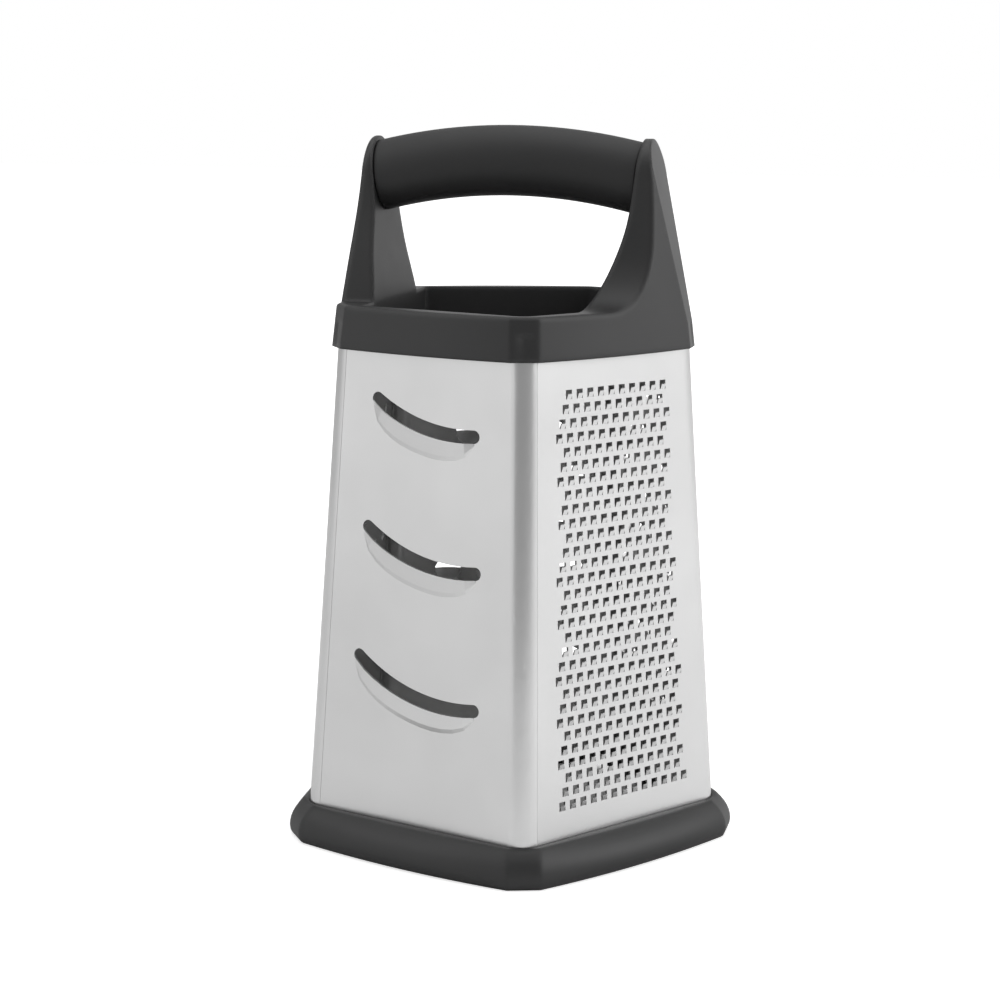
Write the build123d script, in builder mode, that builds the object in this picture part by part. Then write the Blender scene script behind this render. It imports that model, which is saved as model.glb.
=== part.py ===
"""Five-sided tapered kitchen grater: sheet faces, collar frame with handle, flared base.

Millimetres, +Z up. The origin is the centre of the base ring's box, on its underside.
The handle runs along X, from the flat post on the -X face to the corner post at the +X corner.
"""
from build123d import *
from math import cos, sin, tan, radians, sqrt, atan2, hypot
import os

os.makedirs("parts", exist_ok=True)

# Plan: a regular pentagon with a corner towards +X
SIDES = 5
HALF_STEP = 180 / SIDES
CORNER_SIN = sin(radians(HALF_STEP))
CORNER_COS = cos(radians(HALF_STEP))
CORNER_TAN = tan(radians(HALF_STEP))
FACE_ANGLES = {"slicer": -3 * HALF_STEP, "fine": -HALF_STEP, "medium": HALF_STEP,
               "coarse": 3 * HALF_STEP, "zester": SIDES * HALF_STEP}

# Clearances
FIT_GAP = 0.3
SEAM_GAP = 0.15
OVERRUN = 6.0

# Sheet body
SHEET = 0.8
BODY_BOTTOM_Z = 4.0
BODY_TOP_Z = 176.0
BODY_BOTTOM_APOTHEM = 60.5
BODY_TOP_APOTHEM = 50.3
BEND_RADIUS_BOTTOM = 8.1
BEND_RADIUS_TOP = 6.9

# Base ring: the sheets stand on its ledge
BASE_LIP_Z = 12.6
BASE_WALL = 2.1
BASE_FLARE = 4.2
BASE_FACET = 10.9
BASE_BULGE = 3.2
BASE_LEDGE = 4.5
BASE_OPENING_FILLET = 9.0
# height up to the lip, and part of the flare that is reached there
BASE_PROFILE_SHARES = [(0.0, 0.7), (0.05, 0.86), (0.14, 0.96), (0.27, 1.0), (0.4, 0.975), (0.52, 0.9), (0.64, 0.77),
                       (0.76, 0.58), (0.88, 0.32), (1.0, 0.0)]

# Collar frame: its skirt drops over the sheets
COLLAR_SKIRT = 8.3
COLLAR_WALL = 1.9
COLLAR_SLOPE = 0.1
COLLAR_FACET = 9.0
COLLAR_BULGE = 2.4
COLLAR_LEDGE = 2.7
COLLAR_OPENING_FILLET = 6.0
RIM_RISE = 5.8
EDGE_ROUND = 1.2
EDGE_REACH = 7.0

# Posts, measured from the pentagon's axis
TIP_Z = 236.0
TIP_RADIUS = 12.4
CORNER_POST_FACET = 27.6
FLAT_POST_REACH = 46.8
FLAT_POST_FOOT = 5.8
FLAT_POST_FLARE = 12.4
CORNER_POST_REACH = 45.6
CORNER_POST_FOOT = 14.1
CORNER_POST_FLARE = 24.6
FLAT_TIP_SLOPE = 0.06
CORNER_TIP_SLOPE = 0.11
# inner surfaces: part of the foot, part of the height from rim to tip
FLAT_POST_SHARES = [(1.0, 0.0), (0.897, 0.096), (0.638, 0.299), (0.466, 0.557), (0.276, 0.76), (0.0, 1.04)]
CORNER_POST_SHARES = [(1.0, 0.0), (0.752, 0.114), (0.468, 0.299), (0.277, 0.465), (0.191, 0.594), (0.0, 1.04)]
# side outlines: part of the foot's flare, part of the height from rim to the tip's centre
FLAT_FLARE_SHARES = [(1.0, 0.0), (0.49, 0.42), (0.14, 0.72), (0.0, 1.0)]
CORNER_FLARE_SHARES = [(1.0, 0.0), (0.736, 0.012), (0.533, 0.077), (0.37, 0.184), (0.211, 0.364), (0.106, 0.603),
                       (0.041, 0.818), (0.0, 1.0)]

# Handle
GRIP_RADIUS = 11.7
GRIP_DROP = 0.9
GRIP_SAG = 5.6
CORE_WIDTH = 12.0
CORE_HALF_HEIGHT = 5.0
GRIP_INSET = 1.2
SOCKET_DEPTH = 2.0

# Slicer face: each slot's part of the drop, and of the reach to the left and right
SLOT_RADIUS = 62.0
SLOT_WIDTH = 4.3
SLOT_CENTRE_U = 14.5
SLOTS_TOP_Z = 142.8
SLOTS_DROP = 88.8
SLOTS_REACH = 23.0
SLOT_SHARES = [(0.0, 0.81, 0.826), (0.4955, 0.913, 0.93), (1.0, 1.0, 0.983)]
LIP_WIDTH = 6.6
LIP_HEIGHT = 1.6
LIP_OVERLAP = 0.4
LIP_BREAK_SHARE = 0.76
LIP_BREAK_RISE_SHARE = 0.55
LIP_SECTIONS = 12
LIP_END_SHARE = 0.08

# Fine face: each row is shifted by a third of a pitch
FINE_PITCH = 4.56
FINE_ROW_PITCH = 4.59
FINE_ROWS = 30
FINE_TOP_Z = 156.5
FINE_HOLE_W = 2.6
FINE_HOLE_H = 3.0
FINE_SIDE_MARGIN = 9.05
FINE_START_SHARE = 1 / 6

# Medium face
MEDIUM_PITCH = 9.4
MEDIUM_ROW_PITCH = 12.2
MEDIUM_ROWS = 10
MEDIUM_TOP_Z = 146.0
MEDIUM_RADIUS = 2.2
MEDIUM_HOOD_HEIGHT = 1.2
MEDIUM_HOOD_WALL = 0.8
MEDIUM_SIDE_MARGIN = 7.0

# Coarse face
COARSE_PITCH = 15.2
COARSE_ROW_PITCH = 17.4
COARSE_ROWS = 7
COARSE_TOP_Z = 145.5
COARSE_RADIUS = 4.9
COARSE_HOOD_HEIGHT = 2.2
COARSE_HOOD_WALL = 1.1
COARSE_SIDE_MARGIN = 7.0
COARSE_START_SHARE = 0.74

# Zesting face: square openings set on their corners, each with a raised rim
ZEST_PITCH = 9.0
ZEST_ROW_PITCH = 9.6
ZEST_ROWS = 10
ZEST_TOP_Z = 149.0
ZEST_HOLE = 2.2
ZEST_RIM = 4.4
ZEST_HEIGHT = 1.0
ZEST_SIDE_MARGIN = 7.0


def share_at(z):
    """How far a height is up the sheet body."""
    return (z - BODY_BOTTOM_Z) / (BODY_TOP_Z - BODY_BOTTOM_Z)


def body_apothem(z):
    return BODY_BOTTOM_APOTHEM + (BODY_TOP_APOTHEM - BODY_BOTTOM_APOTHEM) * share_at(z)


def bend_radius(z):
    return BEND_RADIUS_BOTTOM + (BEND_RADIUS_TOP - BEND_RADIUS_BOTTOM) * share_at(z)


def flat_half_width(z):
    """Half the flat width of a face, between its bends."""
    return (body_apothem(z) - bend_radius(z)) * CORNER_TAN


# Sizes that follow from the ones above
BASE_LIP_APOTHEM = body_apothem(BASE_LIP_Z) + FIT_GAP + BASE_WALL
BASE_APOTHEM = BASE_LIP_APOTHEM + BASE_FLARE
BASE_FRONT_REACH = (BASE_APOTHEM - BASE_FACET / 2 * CORNER_SIN) / CORNER_COS
BASE_BACK_REACH = BASE_APOTHEM + BASE_BULGE
AXIS_X = (BASE_BACK_REACH - BASE_FRONT_REACH) / 2
COLLAR_BOTTOM_Z = BODY_TOP_Z - COLLAR_SKIRT
RIM_Z = BODY_TOP_Z + RIM_RISE
COLLAR_APOTHEM = body_apothem(COLLAR_BOTTOM_Z) + FIT_GAP + COLLAR_WALL
TIP_CENTRE_Z = TIP_Z - TIP_RADIUS
GRIP_X = AXIS_X + (CORNER_POST_REACH - FLAT_POST_REACH) / 2
GRIP_HALF_SPAN = (CORNER_POST_REACH + FLAT_POST_REACH) / 2 - GRIP_INSET
GRIP_MID_Z = TIP_CENTRE_Z - GRIP_DROP + GRIP_SAG
LEAN = atan2(BODY_BOTTOM_APOTHEM - BODY_TOP_APOTHEM, BODY_TOP_Z - BODY_BOTTOM_Z)


def polar(radius, angle):
    """Step of a length in a direction given in degrees."""
    return Vector(radius * cos(radians(angle)), radius * sin(radians(angle)))


def on_face(angle, along, apothem):
    """Plan point of a face: distance along it, and distance of its line from the axis."""
    a = radians(angle)
    return Vector(AXIS_X + apothem * cos(a) - along * sin(a), apothem * sin(a) + along * cos(a))


def face_plane(angle):
    """Plane of a face's outer surface: x along the face, y up it, origin at z = 0."""
    a = radians(angle)
    outward = Vector(cos(a) * cos(LEAN), sin(a) * cos(LEAN), sin(LEAN))
    return Plane(origin=on_face(angle, 0, body_apothem(0)), x_dir=Vector(-sin(a), cos(a), 0), z_dir=outward)


def up_face(z):
    """Distance up a leaning face for a height."""
    return z / cos(LEAN)


def sheet_section(angle, z):
    """Draws a face's sheet at one height: the flat, then the bend round its left corner."""
    apothem = body_apothem(z)
    radius = bend_radius(z)
    half = flat_half_width(z)
    corner = angle + HALF_STEP
    far_angle = angle + 2 * HALF_STEP
    centre = on_face(angle, half, apothem - radius)
    near = on_face(angle, SEAM_GAP - half, apothem)
    near_in = on_face(angle, SEAM_GAP - half, apothem - SHEET)
    Line(near, on_face(angle, half, apothem))
    ThreePointArc(on_face(angle, half, apothem), centre + polar(radius, corner), centre + polar(radius, far_angle))
    Line(centre + polar(radius, far_angle), centre + polar(radius - SHEET, far_angle))
    ThreePointArc(centre + polar(radius - SHEET, far_angle), centre + polar(radius - SHEET, corner),
                  on_face(angle, half, apothem - SHEET))
    Line(on_face(angle, half, apothem - SHEET), near_in)
    Line(near_in, near)


def sheet_sections(angle):
    """Lower and upper section of one face of the body: a leaning sheet with one bent side."""
    sections = []
    for z in (BODY_BOTTOM_Z, BODY_TOP_Z):
        with BuildSketch(Plane.XY.offset(z)) as section:
            with BuildLine():
                sheet_section(angle, z)
            make_face()
        sections.append(section.sketch.face())
    return sections


def rows(top_z, row_pitch, count, pitch, margin, shift_share, start_share=0.0):
    """Places of a staggered field of openings, kept a margin inside the flat width."""
    places = []
    for row in range(count):
        z = top_z - row * row_pitch
        limit = flat_half_width(z) - margin
        offset = (start_share + row * shift_share) % 1.0
        columns = int(limit / pitch) + 2
        for column in range(-columns, columns + 1):
            u = (column - offset) * pitch
            if abs(u) <= limit:
                places.append((u, up_face(z)))
    return places


def pentagon(apothem, facet, bulge, front_facet):
    """Draws a pentagon with bulged sides and cut corners; the +X corner has its own cut."""
    side = apothem * CORNER_TAN
    for number in range(SIDES):
        angle = HALF_STEP * (2 * number + 1)
        start_cut = (front_facet if number == 0 else facet) / 2 / CORNER_COS
        end_cut = (front_facet if number == SIDES - 1 else facet) / 2 / CORNER_COS
        start = on_face(angle, start_cut - side, apothem)
        end = on_face(angle, side - end_cut, apothem)
        ThreePointArc(start, on_face(angle, (start_cut - end_cut) / 2, apothem + bulge), end)
        Line(end, on_face(angle + 2 * HALF_STEP, end_cut - side, apothem))


def rounded_pentagon(apothem, radius):
    """Draws a pentagon with straight sides and round corners."""
    half = (apothem - radius) * CORNER_TAN
    for number in range(SIDES):
        angle = HALF_STEP * (2 * number + 1)
        centre = on_face(angle, half, apothem - radius)
        Line(on_face(angle, -half, apothem), on_face(angle, half, apothem))
        ThreePointArc(on_face(angle, half, apothem), centre + polar(radius, angle + HALF_STEP),
                      centre + polar(radius, angle + 2 * HALF_STEP))


def slot_point(low_z, u, extra):
    """Point of the slicing arc at a distance u along the face, moved out from its centre by extra."""
    swing = (u - SLOT_CENTRE_U) / SLOT_RADIUS
    reach = SLOT_RADIUS + extra
    height = up_face(low_z) + SLOT_RADIUS
    return (SLOT_CENTRE_U + reach * swing, height - reach * sqrt(1 - swing * swing))


def lip_fullness(share):
    """Fullness of a lip along its length: little at the ends, full over the middle."""
    return max((1 - abs(2 * share - 1) ** 3.2) ** 0.6, LIP_END_SHARE)


def lip_sections(plane, low_z, left_u, right_u):
    """Sections of a thin blade raised along a slot's lower edge, sinking back into the sheet."""
    sections = []
    for number in range(LIP_SECTIONS + 1):
        share = number / LIP_SECTIONS
        u = left_u + (right_u - left_u) * share
        run = LIP_WIDTH * lip_fullness(share) + LIP_OVERLAP
        rise = LIP_HEIGHT * lip_fullness(share)
        edge = slot_point(low_z, u, SLOT_WIDTH / 2)
        foot = slot_point(low_z, u, SLOT_WIDTH / 2 + run)
        down = Vector(foot[0] - edge[0], foot[1] - edge[1]).normalized()
        radial = (plane.x_dir * down.X + plane.y_dir * down.Y).normalized()
        section = Plane(origin=plane.from_local_coords(Vector(edge[0], edge[1])), x_dir=radial,
                        z_dir=radial.cross(plane.z_dir))
        with BuildSketch(section) as blade:
            with BuildLine():
                Polyline((0, rise), (LIP_BREAK_SHARE * run, LIP_BREAK_RISE_SHARE * rise), (run, 0), (run, -SHEET),
                         (LIP_BREAK_SHARE * run, LIP_BREAK_RISE_SHARE * rise - SHEET), (0, rise - SHEET), close=True)
            make_face()
        sections.append(blade.sketch.face())
    return sections


def lip_footprint(low_z, left_u, right_u):
    """Outline of the sheet that is raised into a lip."""
    upper = []
    lower = []
    for number in range(LIP_SECTIONS + 1):
        share = number / LIP_SECTIONS
        u = left_u + (right_u - left_u) * share
        upper.append(slot_point(low_z, u, 0))
        lower.append(slot_point(low_z, u, SLOT_WIDTH / 2 + LIP_WIDTH * lip_fullness(share)))
    return upper + lower[::-1]


def collar_apothem(z):
    return COLLAR_APOTHEM - COLLAR_SLOPE * (z - COLLAR_BOTTOM_Z)


def post_outline(foot_flare, shares, tip_slope):
    """Draws the collar with one post, seen along the handle."""
    outline = [(TIP_RADIUS + foot_flare * flare, RIM_Z + (TIP_CENTRE_Z - RIM_Z) * up) for flare, up in shares]
    foot = outline[0][0]
    steps = (outline[1][0] - foot, outline[1][1] - RIM_Z)
    start = (-1, 0) if -steps[0] > 2 * steps[1] else steps
    Spline(*outline, tangents=(start, (-tip_slope, 1)))
    ThreePointArc(outline[-1], (0, TIP_Z), (-TIP_RADIUS, TIP_CENTRE_Z))
    Spline(*[(-half, z) for half, z in outline[::-1]], tangents=((-tip_slope, -1), (start[0], -start[1])))
    Polyline((-foot, RIM_Z), (-2 * COLLAR_APOTHEM, RIM_Z), (-2 * COLLAR_APOTHEM, COLLAR_BOTTOM_Z),
             (2 * COLLAR_APOTHEM, COLLAR_BOTTOM_Z), (2 * COLLAR_APOTHEM, RIM_Z), (foot, RIM_Z))


def outward_reach(edge):
    """How far out the middle of an edge is, along the face that it is nearest to."""
    middle = edge @ 0.5
    angles = [radians(angle) for angle in FACE_ANGLES.values()]
    return max((middle.X - AXIS_X) * cos(a) + middle.Y * sin(a) for a in angles)


def is_outer_edge(edge):
    """True for the edges of posts and rim on the outside of the collar frame."""
    reach = collar_apothem((edge @ 0.5).Z) - EDGE_REACH
    return edge.bounding_box().min.Z > RIM_Z - FIT_GAP and outward_reach(edge) > reach


def flat_post_line(gap):
    """Inner surface of the flat post, seen along Y, moved into the gap between the posts."""
    height = TIP_Z - RIM_Z
    return [(AXIS_X - FLAT_POST_REACH + FLAT_POST_FOOT * foot + gap, RIM_Z + height * up)
            for foot, up in FLAT_POST_SHARES]


def corner_post_line(gap):
    """Inner surface of the corner post, seen along Y, moved into the gap between the posts."""
    height = TIP_Z - RIM_Z
    return [(AXIS_X + CORNER_POST_REACH - CORNER_POST_FOOT * foot - gap, RIM_Z + height * up)
            for foot, up in CORNER_POST_SHARES]


def arch_z(x):
    """Height of the handle's centre line at a distance from its middle."""
    radius = (GRIP_HALF_SPAN ** 2 + GRIP_SAG ** 2) / (2 * GRIP_SAG)
    return GRIP_MID_Z - radius + sqrt(radius * radius - x * x)


def arch_points(half_length, offset):
    """Ends and middle of the handle's arch, moved up by an offset."""
    end_z = arch_z(half_length) + offset
    return ((GRIP_X - half_length, end_z), (GRIP_X, GRIP_MID_Z + offset), (GRIP_X + half_length, end_z))


def core_outline(half_length, clearance):
    """Draws the handle core from the side, with a clearance above and below it."""
    low = arch_points(half_length, -CORE_HALF_HEIGHT - clearance)
    high = arch_points(half_length, CORE_HALF_HEIGHT + clearance)
    ThreePointArc(*low)
    Line(low[2], high[2])
    ThreePointArc(high[2], high[1], high[0])
    Line(high[0], low[0])


# Slicing face: three curved slots, each with a raised blade
slots = [(SLOTS_TOP_Z - SLOTS_DROP * drop, -SLOTS_REACH * left, SLOTS_REACH * right)
         for drop, left, right in SLOT_SHARES]
slot_arcs = []
for low_z, left_u, right_u in slots:
    with BuildLine() as slot_line:
        ThreePointArc(slot_point(low_z, left_u, 0), slot_point(low_z, (left_u + right_u) / 2, 0),
                      slot_point(low_z, right_u, 0))
    slot_arcs.append(slot_line.line.edge())

with BuildPart() as slicer_panel:
    slicer_plane = face_plane(FACE_ANGLES["slicer"])
    loft(sections=sheet_sections(FACE_ANGLES["slicer"]), ruled=True)
    with BuildSketch(slicer_plane.offset(OVERRUN)):
        for slot_arc, (low_z, left_u, right_u) in zip(slot_arcs, slots):
            SlotArc(slot_arc, SLOT_WIDTH)
            with BuildLine():
                Polyline(*lip_footprint(low_z, left_u, right_u), close=True)
            make_face()
    extrude(amount=-2 * OVERRUN, mode=Mode.SUBTRACT)
    for low_z, left_u, right_u in slots:
        loft(sections=lip_sections(slicer_plane, low_z, left_u, right_u), ruled=True)
slicer_panel.part.label = "slicer_panel"
export_step(slicer_panel.part, "parts/slicer_panel.step")

# Fine face: staggered rows of small square openings
with BuildPart() as fine_panel:
    loft(sections=sheet_sections(FACE_ANGLES["fine"]), ruled=True)
    with BuildSketch(face_plane(FACE_ANGLES["fine"]).offset(OVERRUN)):
        with Locations(*rows(FINE_TOP_Z, FINE_ROW_PITCH, FINE_ROWS, FINE_PITCH, FINE_SIDE_MARGIN, 1 / 3,
                             FINE_START_SHARE)):
            Rectangle(FINE_HOLE_W, FINE_HOLE_H)
    extrude(amount=-2 * OVERRUN, mode=Mode.SUBTRACT)
fine_panel.part.label = "fine_panel"
export_step(fine_panel.part, "parts/fine_panel.step")

# Medium face: openings above small raised hoods
with BuildPart() as medium_panel:
    medium_plane = face_plane(FACE_ANGLES["medium"])
    medium_places = rows(MEDIUM_TOP_Z, MEDIUM_ROW_PITCH, MEDIUM_ROWS, MEDIUM_PITCH, MEDIUM_SIDE_MARGIN, 1 / 2)
    loft(sections=sheet_sections(FACE_ANGLES["medium"]), ruled=True)
    with BuildSketch(medium_plane.offset(-SHEET)):
        with Locations(*medium_places):
            RegularPolygon(MEDIUM_RADIUS + MEDIUM_HOOD_WALL, 6)
            Rectangle(4 * MEDIUM_RADIUS, 2 * MEDIUM_RADIUS + 2 * MEDIUM_HOOD_WALL,
                      align=(Align.CENTER, Align.MIN), mode=Mode.SUBTRACT)
    extrude(amount=SHEET + MEDIUM_HOOD_HEIGHT, taper=15)
    with BuildSketch(medium_plane.offset(OVERRUN)):
        with Locations(*medium_places):
            RegularPolygon(MEDIUM_RADIUS, 6)
    extrude(amount=-2 * OVERRUN, mode=Mode.SUBTRACT)
medium_panel.part.label = "medium_panel"
export_step(medium_panel.part, "parts/medium_panel.step")

# Coarse face: large openings above raised hoods
with BuildPart() as coarse_panel:
    coarse_plane = face_plane(FACE_ANGLES["coarse"])
    coarse_places = rows(COARSE_TOP_Z, COARSE_ROW_PITCH, COARSE_ROWS, COARSE_PITCH, COARSE_SIDE_MARGIN, 1 / 2,
                         COARSE_START_SHARE)
    loft(sections=sheet_sections(FACE_ANGLES["coarse"]), ruled=True)
    with BuildSketch(coarse_plane.offset(-SHEET)):
        with Locations(*coarse_places):
            RegularPolygon(COARSE_RADIUS + COARSE_HOOD_WALL, 12, rotation=180 / 12)
            Rectangle(4 * COARSE_RADIUS, 2 * COARSE_RADIUS + 2 * COARSE_HOOD_WALL,
                      align=(Align.CENTER, Align.MIN), mode=Mode.SUBTRACT)
    extrude(amount=SHEET + COARSE_HOOD_HEIGHT, taper=12)
    with BuildSketch(coarse_plane.offset(OVERRUN)):
        with Locations(*coarse_places):
            RegularPolygon(COARSE_RADIUS, 12, rotation=180 / 12)
    extrude(amount=-2 * OVERRUN, mode=Mode.SUBTRACT)
coarse_panel.part.label = "coarse_panel"
export_step(coarse_panel.part, "parts/coarse_panel.step")

# Zesting face: small square openings in raised rims
with BuildPart() as zester_panel:
    zester_plane = face_plane(FACE_ANGLES["zester"])
    zester_places = rows(ZEST_TOP_Z, ZEST_ROW_PITCH, ZEST_ROWS, ZEST_PITCH, ZEST_SIDE_MARGIN, 1 / 2)
    loft(sections=sheet_sections(FACE_ANGLES["zester"]), ruled=True)
    with BuildSketch(zester_plane.offset(-SHEET)):
        with Locations(*zester_places):
            Rectangle(ZEST_RIM, ZEST_RIM, rotation=45)
    extrude(amount=SHEET + ZEST_HEIGHT, taper=25)
    with BuildSketch(zester_plane.offset(OVERRUN)):
        with Locations(*zester_places):
            Rectangle(ZEST_HOLE, ZEST_HOLE, rotation=45)
    extrude(amount=-2 * OVERRUN, mode=Mode.SUBTRACT)
zester_panel.part.label = "zester_panel"
export_step(zester_panel.part, "parts/zester_panel.step")

# Base ring: flared outside, with a ledge that the sheets stand on
with BuildPart() as base_ring:
    for height_share, reach_share in BASE_PROFILE_SHARES:
        with BuildSketch(Plane.XY.offset(BASE_LIP_Z * height_share)):
            with BuildLine():
                pentagon(BASE_LIP_APOTHEM + BASE_FLARE * reach_share, BASE_FACET,
                         BASE_BULGE * (1 + 2 * reach_share) / 3, BASE_FACET)
            make_face()
    loft(ruled=True)
    with BuildSketch(Plane.XY):
        with BuildLine():
            rounded_pentagon(BODY_BOTTOM_APOTHEM - BASE_LEDGE, BASE_OPENING_FILLET)
        make_face()
    extrude(amount=BASE_LIP_Z, mode=Mode.SUBTRACT)
    for z in (BODY_BOTTOM_Z, BASE_LIP_Z):
        with BuildSketch(Plane.XY.offset(z)):
            with BuildLine():
                rounded_pentagon(body_apothem(z) + FIT_GAP, bend_radius(z) + FIT_GAP)
            make_face()
    loft(ruled=True, mode=Mode.SUBTRACT)
base_ring.part.label = "base_ring"
export_step(base_ring.part, "parts/base_ring.step")

# Outline of the posts seen along the handle: one post on each half
with BuildPart() as post_outlines:
    with BuildSketch(Plane.YZ):
        with BuildLine():
            post_outline(FLAT_POST_FLARE, FLAT_FLARE_SHARES, FLAT_TIP_SLOPE)
        make_face()
    extrude(amount=-2 * COLLAR_APOTHEM)
    with BuildSketch(Plane.YZ):
        with BuildLine():
            post_outline(CORNER_POST_FLARE, CORNER_FLARE_SHARES, CORNER_TIP_SLOPE)
        make_face()
    extrude(amount=2 * COLLAR_APOTHEM)

# Groove that drops over the sheets, with an inner wall left standing inside it
with BuildPart() as sheet_groove:
    for z in (COLLAR_BOTTOM_Z, BODY_TOP_Z):
        with BuildSketch(Plane.XY.offset(z)):
            with BuildLine():
                rounded_pentagon(body_apothem(z) + FIT_GAP, bend_radius(z) + FIT_GAP)
            make_face()
    loft(ruled=True)
    for z in (COLLAR_BOTTOM_Z, BODY_TOP_Z):
        with BuildSketch(Plane.XY.offset(z)):
            with BuildLine():
                rounded_pentagon(body_apothem(z) - SHEET - FIT_GAP, bend_radius(z) - SHEET - FIT_GAP)
            make_face()
    loft(ruled=True, mode=Mode.SUBTRACT)

# Collar frame: the ring round the body's top and the two posts, in one moulding
with BuildPart() as collar_frame:
    for z, front_facet in ((COLLAR_BOTTOM_Z, COLLAR_FACET), (BODY_TOP_Z, COLLAR_FACET),
                           (TIP_Z + OVERRUN, CORNER_POST_FACET)):
        with BuildSketch(Plane.XY.offset(z)):
            with BuildLine():
                pentagon(collar_apothem(z), COLLAR_FACET, COLLAR_BULGE, front_facet)
            make_face()
    loft(ruled=True)
    add(post_outlines.part, mode=Mode.INTERSECT)
    fillet([edge for edge in collar_frame.edges() if is_outer_edge(edge)], EDGE_ROUND)
    # gap between the posts, seen along Y
    with BuildSketch(Plane.XZ):
        with BuildLine():
            flat_side = flat_post_line(0)
            corner_side = corner_post_line(0)
            Spline(*flat_side)
            Spline(*corner_side)
            Line(flat_side[0], corner_side[0])
            Line(flat_side[-1], corner_side[-1])
        make_face()
    extrude(amount=2 * COLLAR_APOTHEM, both=True, mode=Mode.SUBTRACT)
    # opening down into the body, between the feet of the posts
    with BuildSketch(Plane.XY.offset(COLLAR_BOTTOM_Z)):
        with BuildLine():
            rounded_pentagon(BODY_TOP_APOTHEM - COLLAR_LEDGE, COLLAR_OPENING_FILLET)
        make_face()
        with Locations(((flat_side[0][0] + corner_side[0][0]) / 2, 0)):
            Rectangle(corner_side[0][0] - flat_side[0][0], 4 * COLLAR_APOTHEM, mode=Mode.INTERSECT)
    extrude(amount=RIM_Z - COLLAR_BOTTOM_Z, mode=Mode.SUBTRACT)
    add(sheet_groove.part, mode=Mode.SUBTRACT)
    # sockets for the handle core
    with BuildSketch(Plane.XZ):
        with BuildLine():
            core_outline(GRIP_HALF_SPAN + SOCKET_DEPTH + FIT_GAP, FIT_GAP)
        make_face()
    extrude(amount=CORE_WIDTH / 2 + FIT_GAP, both=True, mode=Mode.SUBTRACT)
collar_frame.part.label = "collar_frame"
export_step(collar_frame.part, "parts/collar_frame.step")

# Handle core: a flat-sided arched bar from socket to socket
with BuildPart() as handle_core:
    with BuildSketch(Plane.XZ):
        with BuildLine():
            core_outline(GRIP_HALF_SPAN + SOCKET_DEPTH, 0)
        make_face()
    extrude(amount=CORE_WIDTH / 2, both=True)
handle_core.part.label = "handle_core"
export_step(handle_core.part, "parts/handle_core.step")

# Grip sleeve: a round arched sleeve on the core, cut to the posts
with BuildPart() as grip_sleeve:
    with BuildLine():
        grip_path = ThreePointArc(*[(x, 0, z) for x, z in arch_points(GRIP_HALF_SPAN + OVERRUN, 0)])
    with BuildSketch(Plane(origin=grip_path @ 0, z_dir=grip_path % 0)):
        Circle(GRIP_RADIUS)
    sweep(path=grip_path)
    with BuildSketch(Plane.XZ):
        with BuildLine():
            flat_side = flat_post_line(FIT_GAP)
            corner_side = corner_post_line(FIT_GAP)
            Spline(*flat_side)
            Spline(*corner_side)
            Line(flat_side[0], corner_side[0])
            Polyline(flat_side[-1], (flat_side[-1][0], 2 * TIP_Z), (corner_side[-1][0], 2 * TIP_Z), corner_side[-1])
        make_face()
    extrude(amount=2 * GRIP_RADIUS, both=True, mode=Mode.INTERSECT)
    with BuildSketch(Plane.XZ):
        with BuildLine():
            core_outline(GRIP_HALF_SPAN + SOCKET_DEPTH + FIT_GAP, FIT_GAP)
        make_face()
    extrude(amount=CORE_WIDTH / 2 + FIT_GAP, both=True, mode=Mode.SUBTRACT)
grip_sleeve.part.label = "grip_sleeve"
export_step(grip_sleeve.part, "parts/grip_sleeve.step")
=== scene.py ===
"""Kitchen grater on a pale floor: materials, small steel forms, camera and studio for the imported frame."""
import bpy
import bmesh
from math import atan2, cos, radians, sin, tan
from mathutils import Matrix, Vector


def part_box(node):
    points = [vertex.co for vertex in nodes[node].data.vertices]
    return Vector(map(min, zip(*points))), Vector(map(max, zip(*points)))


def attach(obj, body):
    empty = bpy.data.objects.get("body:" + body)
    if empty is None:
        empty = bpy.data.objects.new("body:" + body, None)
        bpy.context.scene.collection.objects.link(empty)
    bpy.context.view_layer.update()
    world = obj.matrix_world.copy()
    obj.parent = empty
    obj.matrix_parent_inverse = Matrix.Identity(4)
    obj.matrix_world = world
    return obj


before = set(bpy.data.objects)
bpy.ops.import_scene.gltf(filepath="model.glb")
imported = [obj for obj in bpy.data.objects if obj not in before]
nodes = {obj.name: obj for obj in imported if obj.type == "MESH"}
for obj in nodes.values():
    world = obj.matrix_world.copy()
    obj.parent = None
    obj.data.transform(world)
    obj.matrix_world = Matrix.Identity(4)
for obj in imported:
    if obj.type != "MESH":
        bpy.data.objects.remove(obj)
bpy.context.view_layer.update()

MM = 0.001

# Sizes repeated from the part's source, in millimetres and degrees
BODY_BOTTOM_Z, BODY_TOP_Z = 4.0, 176.0
BODY_BOTTOM_APOTHEM, BODY_TOP_APOTHEM = 60.5, 50.3
BEND_RADIUS_BOTTOM, BEND_RADIUS_TOP = 8.1, 6.9
SHEET, SEAM_GAP = 0.8, 0.15
BASE_BACK_REACH = 69.79
FINE_HOLE_H = 3.0
MEDIUM_RADIUS, MEDIUM_HOOD_HEIGHT = 2.2, 1.2
COARSE_RADIUS, COARSE_HOOD_HEIGHT = 4.9, 2.2
ZEST_HOLE, ZEST_HEIGHT = 2.2, 1.0
HALF_STEP = 36
FACE_ANGLES = {"slicer_panel": -3 * HALF_STEP, "fine_panel": -HALF_STEP, "medium_panel": HALF_STEP,
               "coarse_panel": 3 * HALF_STEP, "zester_panel": 5 * HALF_STEP}
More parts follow.
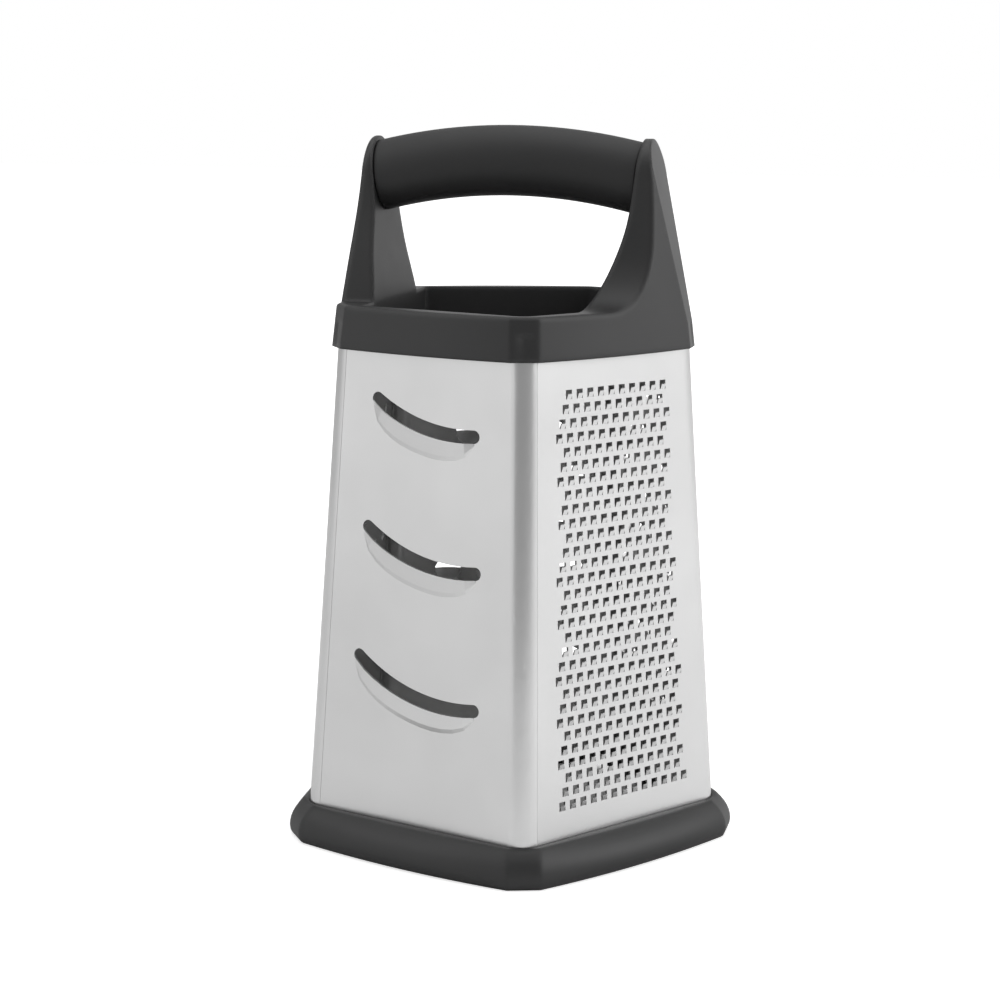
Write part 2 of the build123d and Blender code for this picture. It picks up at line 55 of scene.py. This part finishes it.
# Fields of openings: top row, row pitch, rows, pitch and side margin,
# then the shift of each row and the start of the first as shares of the pitch
FIELDS = {"fine_panel": (156.5, 4.59, 30, 4.56, 9.05, 1 / 3, 1 / 6),
          "medium_panel": (146.0, 12.2, 10, 9.4, 7.0, 1 / 2, 0.0),
          "coarse_panel": (145.5, 17.4, 7, 15.2, 7.0, 1 / 2, 0.74),
          "zester_panel": (149.0, 9.6, 10, 9.0, 7.0, 1 / 2, 0.0)}
LEAN = atan2(BODY_BOTTOM_APOTHEM - BODY_TOP_APOTHEM, BODY_TOP_Z - BODY_BOTTOM_Z)

# The pentagon's upright axis, from the base ring's box
AXIS_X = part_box("base_ring")[0].x / MM + BASE_BACK_REACH

# Tabs of the fine openings, in millimetres; the side outline is in distances up the face and out of it
TAB_WIDTH, TAB_RUN, TAB_RISE, TAB_TIP_SHARE = 1.9, 1.65, 0.6, 0.94
TAB_SIDE = [(-0.35, -0.25), (0.2, 0.02), (TAB_RUN, TAB_RISE), (TAB_RUN + 0.15, TAB_RISE - 0.35),
            (0.45, -0.35), (-0.35, -0.5)]

# Caps of the hooded openings, in millimetres: face, radius and height of the opening's hood, dome, steps
CAPS = {"medium_caps": ("medium_panel", MEDIUM_RADIUS, MEDIUM_HOOD_HEIGHT, 0.3, 4),
        "coarse_caps": ("coarse_panel", COARSE_RADIUS, COARSE_HOOD_HEIGHT, 0.9, 7)}
CAP_SHEET, CAP_OVERLAP, CAP_END_SHARE = 0.4, 0.2, 0.985

# Burrs of the zesting face and laps behind the seams, in millimetres
BURR_HALF, BURR_FOOT, BURR_LEAN, BURR_RISE = 0.75, 0.28, 0.25, 0.75
SEAM_ROOM, SEAM_SINK, SEAM_LAP, SEAM_SHEET = 0.02, 0.06, 3.0, 0.3
SEAM_BOTTOM_Z, SEAM_TOP_Z = 5.0, 167.0

# Looks of the steel; scales of noise are per metre, depths and edges in metres
STEEL_COLOUR, STEEL_MEAN_ROUGHNESS = (0.6, 0.6, 0.61), 0.3
STEEL_ROUGHNESS, STEEL_TINT = (0.26, 0.37), (0.56, 0.66)
STEEL_GRAIN_SCALE, STEEL_GRAIN_STRETCH, STEEL_CLOUD_SCALE = 5200.0, 0.012, 26.0
STEEL_GRAIN_STRENGTH, STEEL_GRAIN_DEPTH = 0.12, 0.00004

# Looks of the moulded nodes: material, colour, range of roughness, grain scale and strength, soft edge
MOULDED = {"collar_frame": ("collar_plastic", (0.019, 0.019, 0.0195), (0.42, 0.52), 2600.0, 0.12, 0.0024),
           "base_ring": ("base_plastic", (0.019, 0.019, 0.0195), (0.42, 0.52), 2600.0, 0.12, 0.003),
           "handle_core": ("core_plastic", (0.015, 0.015, 0.015), (0.5, 0.6), 2600.0, 0.1, 0.0005),
           "grip_sleeve": ("grip_rubber", (0.017, 0.017, 0.0175), (0.55, 0.66), 1800.0, 0.3, 0.0008)}
MOULDED_PATCH_SCALE, MOULDED_GRAIN_DEPTH = 45.0, 0.00005
EDGE_SAMPLES = 6
NOISE_ROUGHNESS = 0.6
FINE_DETAIL, BROAD_DETAIL = 3.0, 2.0

# Camera at the photograph's viewpoint, in metres from the pentagon's axis
LENS, SENSOR, CLIP_END = 78.24, 36.0, 50.0
CAMERA_PLACE = Vector((0.1790 + AXIS_X * MM, -0.7141, 0.2510))
CAMERA_RIGHT = Vector((0.96849, 0.24896, 0.00666))
CAMERA_UP = Vector((-0.05235, 0.17739, 0.98275))
CAMERA_BACK = Vector((0.24348, -0.95213, 0.18483))

# White floor, in metres: it ends in front of the object, so that the front bend mirrors the darker room
FLOOR_REACH, FLOOR_FRONT = 6.0, 0.45
FLOOR_COLOUR = 0.8
INSIDE_RADIUS, OUTSIDE_RADIUS = 0.06, 0.066
NEAR_RADIUS, FAR_RADIUS = 0.12, 0.5
# glow that the camera sees near the object and far from it, and glow that the steel mirrors on either side
NEAR_GLOW, FAR_GLOW = 0.62, 1.0
LEFT_GLOSS, RIGHT_GLOSS, GLOSS_SPAN = 0.16, 0.42, 0.3

# World: the light that falls on the object, and the room that glossy surfaces mirror
LIGHT_COLOUR, LIGHT_STRENGTH = 0.75, 0.55
# each part of the room: its direction, the cosines at which it begins and is full, and its brightness
ROOM = {"front": ((0.5, -0.866, 0.0), 0.42, 0.56, 0.4),
        "left_back": ((-0.906, 0.423, 0.0), 0.55, 0.85, 0.6),
        "left_front": ((-0.766, -0.643, 0.0), 0.75, 0.95, 1.12),
        "right": ((1.0, 0.0, 0.0), 0.85, 0.97, 1.1),
        "ceiling": ((0.0, 0.0, 1.0), 0.15, 0.8, 0.5)}

# Softboxes: size and place in metres, power in watts and the point that they aim at
SOFTBOXES = {"softbox_left": ((1.0, 1.0), 4.0, (-1.0, -0.5, 1.15), (0.0, 0.0, 0.1)),
             "softbox_right": ((1.0, 1.2), 10.0, (1.35, 0.0, 0.85), (0.0, 0.0, 0.12)),
             "softbox_top": ((1.4, 1.4), 7.0, (0.0, 0.15, 1.5), (0.0, 0.0, 0.1))}


# Shader helpers

def add(tree, kind, **values):
    """Adds a shader node and sets its inputs by name."""
    node = tree.nodes.new(kind)
    for name, value in values.items():
        node.inputs[name.replace("_", " ")].default_value = value
    return node


def grey(value):
    return (value, value, value, 1.0)


def spread(tree, source, low, high):
    """Maps a noise of 0 to 1 onto a range."""
    ranged = add(tree, "ShaderNodeMapRange", To_Min=low, To_Max=high)
    tree.links.new(source, ranged.inputs["Value"])
    return ranged.outputs["Result"]


def ramp(tree, value, start, end, low, high):
    """Smooth change of a value from low to high."""
    node = add(tree, "ShaderNodeMapRange", From_Min=start, From_Max=end, To_Min=low, To_Max=high)
    node.interpolation_type = "SMOOTHSTEP"
    tree.links.new(value, node.inputs["Value"])
    return node.outputs["Result"]


def noise(tree, vector, scale, detail):
    node = add(tree, "ShaderNodeTexNoise", Scale=scale, Detail=detail, Roughness=NOISE_ROUGHNESS)
    tree.links.new(vector, node.inputs["Vector"])
    return node.outputs["Fac"]


def combine(tree, operation, first, second):
    """Adds or multiplies two numbers, each a socket or a float."""
    node = tree.nodes.new("ShaderNodeMath")
    node.operation = operation
    for socket, value in zip(node.inputs, (first, second)):
        if isinstance(value, float):
            socket.default_value = value
        else:
            tree.links.new(value, socket)
    return node.outputs[0]


def compare(tree, operation, vector, other):
    """Distance or dot product of a vector socket and a fixed vector."""
    node = tree.nodes.new("ShaderNodeVectorMath")
    node.operation = operation
    node.inputs[1].default_value = other
    tree.links.new(vector, node.inputs[0])
    return node.outputs["Value"]


# Materials

def new_material(name, metallic, roughness, colour):
    """A material with a Principled shader whose uniform values are set on its own sockets."""
    material = bpy.data.materials.new(name)
    material.use_nodes = True
    shader = material.node_tree.nodes["Principled BSDF"]
    shader.inputs["Metallic"].default_value = metallic
    shader.inputs["Roughness"].default_value = roughness
    shader.inputs["Base Color"].default_value = (*colour, 1.0)
    return material, shader


def brushed_steel(name, face_angle):
    """Steel sheet with fine grain running up the face, and faint cloudy patches."""
    material, shader = new_material(name, 1.0, STEEL_MEAN_ROUGHNESS, STEEL_COLOUR)
    tree = material.node_tree
    place = add(tree, "ShaderNodeTexCoord")
    turn = add(tree, "ShaderNodeMapping", Rotation=(0.0, 0.0, -radians(face_angle)),
               Scale=(1.0, 1.0, STEEL_GRAIN_STRETCH))
    tree.links.new(place.outputs["Object"], turn.inputs["Vector"])
    grain = noise(tree, turn.outputs["Vector"], STEEL_GRAIN_SCALE, FINE_DETAIL)
    cloud = noise(tree, place.outputs["Object"], STEEL_CLOUD_SCALE, BROAD_DETAIL)
    tree.links.new(spread(tree, grain, *STEEL_ROUGHNESS), shader.inputs["Roughness"])
    tint = spread(tree, cloud, *STEEL_TINT)
    colour = add(tree, "ShaderNodeCombineColor")
    for channel in ("Red", "Green", "Blue"):
        tree.links.new(tint, colour.inputs[channel])
    tree.links.new(colour.outputs["Color"], shader.inputs["Base Color"])
    bump = add(tree, "ShaderNodeBump", Strength=STEEL_GRAIN_STRENGTH, Distance=STEEL_GRAIN_DEPTH)
    tree.links.new(grain, bump.inputs["Height"])
    tree.links.new(bump.outputs["Normal"], shader.inputs["Normal"])
    return material


def moulded(name, colour, roughness, grain_scale, grain_strength, edge_radius):
    """Moulded plastic or rubber: sheen that varies a little, fine surface grain, softened edges."""
    material, shader = new_material(name, 0.0, sum(roughness) / 2, colour)
    tree = material.node_tree
    place = add(tree, "ShaderNodeTexCoord")
    patch = noise(tree, place.outputs["Object"], MOULDED_PATCH_SCALE, BROAD_DETAIL)
    tree.links.new(spread(tree, patch, *roughness), shader.inputs["Roughness"])
    edge = add(tree, "ShaderNodeBevel", Radius=edge_radius)
    edge.samples = EDGE_SAMPLES
    bump = add(tree, "ShaderNodeBump", Strength=grain_strength, Distance=MOULDED_GRAIN_DEPTH)
    tree.links.new(noise(tree, place.outputs["Object"], grain_scale, FINE_DETAIL), bump.inputs["Height"])
    tree.links.new(edge.outputs["Normal"], bump.inputs["Normal"])
    tree.links.new(bump.outputs["Normal"], shader.inputs["Normal"])
    return material


def dress(node, material):
    nodes[node].data.materials.clear()
    nodes[node].data.materials.append(material)


for node, angle in FACE_ANGLES.items():
    dress(node, brushed_steel("steel_" + node, angle))
for node, look in MOULDED.items():
    dress(node, moulded(*look))


# Places on the faces

def share_at(z):
    return (z - BODY_BOTTOM_Z) / (BODY_TOP_Z - BODY_BOTTOM_Z)


def body_apothem(z):
    return BODY_BOTTOM_APOTHEM + (BODY_TOP_APOTHEM - BODY_BOTTOM_APOTHEM) * share_at(z)


def flat_half_width(z):
    bend = BEND_RADIUS_BOTTOM + (BEND_RADIUS_TOP - BEND_RADIUS_BOTTOM) * share_at(z)
    return (body_apothem(z) - bend) * tan(radians(HALF_STEP))


def openings(face):
    """Centres of a face's openings, along the face and up it."""
    top_z, row_pitch, count, pitch, margin, shift, start = FIELDS[face]
    places = []
    for row in range(count):
        z = top_z - row * row_pitch
        limit = flat_half_width(z) - margin
        offset = (start + row * shift) % 1.0
        columns = int(limit / pitch) + 2
        for column in range(-columns, columns + 1):
            u = (column - offset) * pitch
            if abs(u) <= limit:
                places.append((u, z / cos(LEAN)))
    return places


def face_point(face):
    """Turns a distance along a face, up it and out of it into a point of the frame."""
    a = radians(FACE_ANGLES[face])
    along = Vector((-sin(a), cos(a), 0.0))
    out = Vector((cos(a) * cos(LEAN), sin(a) * cos(LEAN), sin(LEAN)))
    up = out.cross(along)
    origin = Vector((AXIS_X + body_apothem(0) * cos(a), body_apothem(0) * sin(a), 0.0))
    return lambda u, v, reach: (origin + along * u + up * v + out * reach) * MM


# Small forms on the faces: tabs, caps, burrs and laps

def skin(mesh, rings):
    """Closes a run of point rings into a solid with flat ends."""
    rings = [[mesh.verts.new(point) for point in ring] for ring in rings]
    for low, high in zip(rings, rings[1:]):
        for i in range(len(low)):
            j = (i + 1) % len(low)
            mesh.faces.new((low[i], low[j], high[j], high[i]))
    mesh.faces.new(rings[0][::-1])
    mesh.faces.new(rings[-1])


def place_object(name, data):
    thing = bpy.data.objects.new(name, data)
    bpy.context.scene.collection.objects.link(thing)
    return thing


def steel_piece(name, mesh, face):
    """Makes a steel piece of the finished mesh and lets it ride on the body."""
    bmesh.ops.recalc_face_normals(mesh, faces=mesh.faces)
    data = bpy.data.meshes.new(name)
    mesh.to_mesh(data)
    mesh.free()
    data.materials.append(brushed_steel("steel_" + name, FACE_ANGLES[face]))
    piece = place_object(name, data)
    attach(piece, "root")


def fine_teeth():
    """A tab bent outwards from the lower edge of every fine opening, a little narrower at its tip."""
    point = face_point("fine_panel")
    mesh = bmesh.new()
    for u, v in openings("fine_panel"):
        rings = []
        for half in (-TAB_WIDTH / 2, TAB_WIDTH / 2):
            ring = []
            for run, reach in TAB_SIDE:
                taper = 1.0 - (1.0 - TAB_TIP_SHARE) * max(run, 0.0) / TAB_RUN
                ring.append(point(u + half * taper, v - FINE_HOLE_H / 2 + run, reach))
            rings.append(ring)
        skin(mesh, rings)
    steel_piece("fine_teeth", mesh, "fine_panel")


def hood_caps(name, face, radius, height, dome, steps):
    """A domed cap over the lower half of every hooded opening, its free edge upwards."""
    point = face_point(face)
    reach = radius + CAP_OVERLAP
    mesh = bmesh.new()
    for u, v in openings(face):
        rings = []
        for step in range(2 * steps + 1):
            across = CAP_END_SHARE * (step / steps - 1.0)
            depth = (1.0 - across * across) ** 0.5
            ring = []
            for layer, rows in ((0.0, range(steps + 1)), (CAP_SHEET, range(steps, -1, -1))):
                for row in rows:
                    down = row / steps
                    rise = height + dome * (1.0 - across * across) * (1.0 - down * down) - layer
                    ring.append(point(u + reach * across, v - reach * depth * down, rise))
            rings.append(ring)
        skin(mesh, rings)
    steel_piece(name, mesh, face)


def zest_burrs():
    """Four sharp points round every opening of the zesting face."""
    point = face_point("zester_panel")
    foot_and_tip = ((-BURR_HALF, 0.0, ZEST_HEIGHT), (BURR_HALF, 0.0, ZEST_HEIGHT),
                    (0.0, BURR_FOOT, ZEST_HEIGHT), (0.0, BURR_LEAN, ZEST_HEIGHT + BURR_RISE))
    mesh = bmesh.new()
    for u, v in openings("zester_panel"):
        for quarter in range(4):
            a = radians(45 + 90 * quarter)
            corners = []
            for side, far, rise in foot_and_tip:
                reach = ZEST_HOLE / 2 + far
                corners.append(mesh.verts.new(point(u + reach * cos(a) - side * sin(a),
                                                    v + reach * sin(a) + side * cos(a), rise)))
            for triangle in ((0, 1, 2), (0, 1, 3), (1, 2, 3), (2, 0, 3)):
                mesh.faces.new([corners[i] for i in triangle])
    steel_piece("zest_burrs", mesh, "zester_panel")


def seam_lap(face):
    """Lapped strip behind the seam at the start of a face, with a tongue that nearly fills the gap."""
    point = face_point(face)
    back = -SHEET - SEAM_SINK
    outline = ((SEAM_ROOM, -SEAM_SINK), (SEAM_GAP - SEAM_ROOM, -SEAM_SINK), (SEAM_GAP - SEAM_ROOM, back),
               (SEAM_LAP, back), (SEAM_LAP, back - SEAM_SHEET), (SEAM_ROOM, back - SEAM_SHEET))
    rings = []
    for z in (SEAM_BOTTOM_Z, SEAM_TOP_Z):
        start = -flat_half_width(z)
        rings.append([point(start + along, z / cos(LEAN), reach) for along, reach in outline])
    mesh = bmesh.new()
    skin(mesh, rings)
    steel_piece("seam_" + face, mesh, face)


fine_teeth()
for name, values in CAPS.items():
    hood_caps(name, *values)
zest_burrs()
for face in FACE_ANGLES:
    seam_lap(face)


# Camera

lens = bpy.data.cameras.new("camera")
lens.sensor_width = SENSOR
lens.lens = LENS
lens.clip_end = CLIP_END
camera = place_object("camera", lens)
camera_turn = Matrix((CAMERA_RIGHT, CAMERA_UP, CAMERA_BACK)).transposed().to_4x4()
camera.matrix_world = Matrix.Translation(CAMERA_PLACE) @ camera_turn
bpy.context.scene.camera = camera


# Studio

def white_floor():
    """Floor that takes the object's shadow near it, is plain white further off and unlit inside it."""
    material = bpy.data.materials.new("floor")
    material.use_nodes = True
    tree = material.node_tree
    tree.nodes.clear()
    place = add(tree, "ShaderNodeTexCoord").outputs["Object"]
    reach = compare(tree, "DISTANCE", place, (AXIS_X * MM, 0.0, 0.0))
    across = tree.nodes.new("ShaderNodeSeparateXYZ")
    tree.links.new(place, across.inputs[0])
    ray = tree.nodes.new("ShaderNodeLightPath")
    in_view = combine(tree, "MULTIPLY", ray.outputs["Is Camera Ray"],
                      ramp(tree, reach, NEAR_RADIUS, FAR_RADIUS, NEAR_GLOW, FAR_GLOW))
    mirrored = combine(tree, "MULTIPLY", ramp(tree, reach, OUTSIDE_RADIUS, NEAR_RADIUS, 0.0, 1.0),
                       ramp(tree, across.outputs["X"], -GLOSS_SPAN, GLOSS_SPAN, LEFT_GLOSS, RIGHT_GLOSS))
    in_gloss = combine(tree, "MULTIPLY", ray.outputs["Is Glossy Ray"], mirrored)
    glow = combine(tree, "MULTIPLY", combine(tree, "ADD", in_view, in_gloss),
                   ramp(tree, reach, INSIDE_RADIUS, OUTSIDE_RADIUS, 0.0, 1.0))
    shine = add(tree, "ShaderNodeEmission", Color=grey(1.0))
    tree.links.new(glow, shine.inputs["Strength"])
    lit = add(tree, "ShaderNodeBsdfDiffuse", Color=grey(FLOOR_COLOUR))
    both = tree.nodes.new("ShaderNodeAddShader")
    out = tree.nodes.new("ShaderNodeOutputMaterial")
    tree.links.new(lit.outputs[0], both.inputs[0])
    tree.links.new(shine.outputs[0], both.inputs[1])
    tree.links.new(both.outputs[0], out.inputs["Surface"])
    return material


def lay_floor():
    left, right, front, back = -FLOOR_REACH, FLOOR_REACH, -FLOOR_FRONT, FLOOR_REACH
    corners = [(left, front, 0.0), (right, front, 0.0), (right, back, 0.0), (left, back, 0.0)]
    data = bpy.data.meshes.new("floor")
    data.from_pydata(corners, [], [(0, 1, 2, 3)])
    data.materials.append(white_floor())
    place_object("floor", data)


def mix(tree, share, plain, special):
    """Shows one shader, and another to the rays that the share picks."""
    node = tree.nodes.new("ShaderNodeMixShader")
    for source, socket in zip((share, plain, special), node.inputs):
        tree.links.new(source, socket)
    return node.outputs[0]


def studio_world():
    """White to the camera, plain light on the object, and a room of soft differences in mirrors."""
    world = bpy.data.worlds.new("studio")
    bpy.context.scene.world = world
    world.use_nodes = True
    tree = world.node_tree
    tree.nodes.clear()
    seen = add(tree, "ShaderNodeBackground", Color=grey(1.0), Strength=1.0)
    light = add(tree, "ShaderNodeBackground", Color=grey(LIGHT_COLOUR), Strength=LIGHT_STRENGTH)
    mirrored = add(tree, "ShaderNodeBackground", Strength=1.0)
    place = add(tree, "ShaderNodeTexCoord").outputs["Generated"]
    room = 1.0
    for direction, edge, full, brightness in ROOM.values():
        facing = compare(tree, "DOT_PRODUCT", place, direction)
        room = combine(tree, "MULTIPLY", room, ramp(tree, facing, edge, full, 1.0, brightness))
    tree.links.new(room, mirrored.inputs["Color"])
    ray = tree.nodes.new("ShaderNodeLightPath")
    out = tree.nodes.new("ShaderNodeOutputWorld")
    unseen = mix(tree, ray.outputs["Is Glossy Ray"], light.outputs[0], mirrored.outputs[0])
    shown = mix(tree, ray.outputs["Is Camera Ray"], unseen, seen.outputs[0])
    tree.links.new(shown, out.inputs["Surface"])


def softbox(name, size, energy, place, aim):
    data = bpy.data.lights.new(name, "AREA")
    data.shape = "RECTANGLE"
    data.size, data.size_y = size
    data.energy = energy
    lamp = place_object(name, data)
    lamp.location = place
    lamp.rotation_euler = (Vector(aim) - Vector(place)).to_track_quat("-Z", "Y").to_euler()


lay_floor()
studio_world()
for name, values in SOFTBOXES.items():
    softbox(name, *values)

bpy.context.scene.view_settings.view_transform = "Standard"
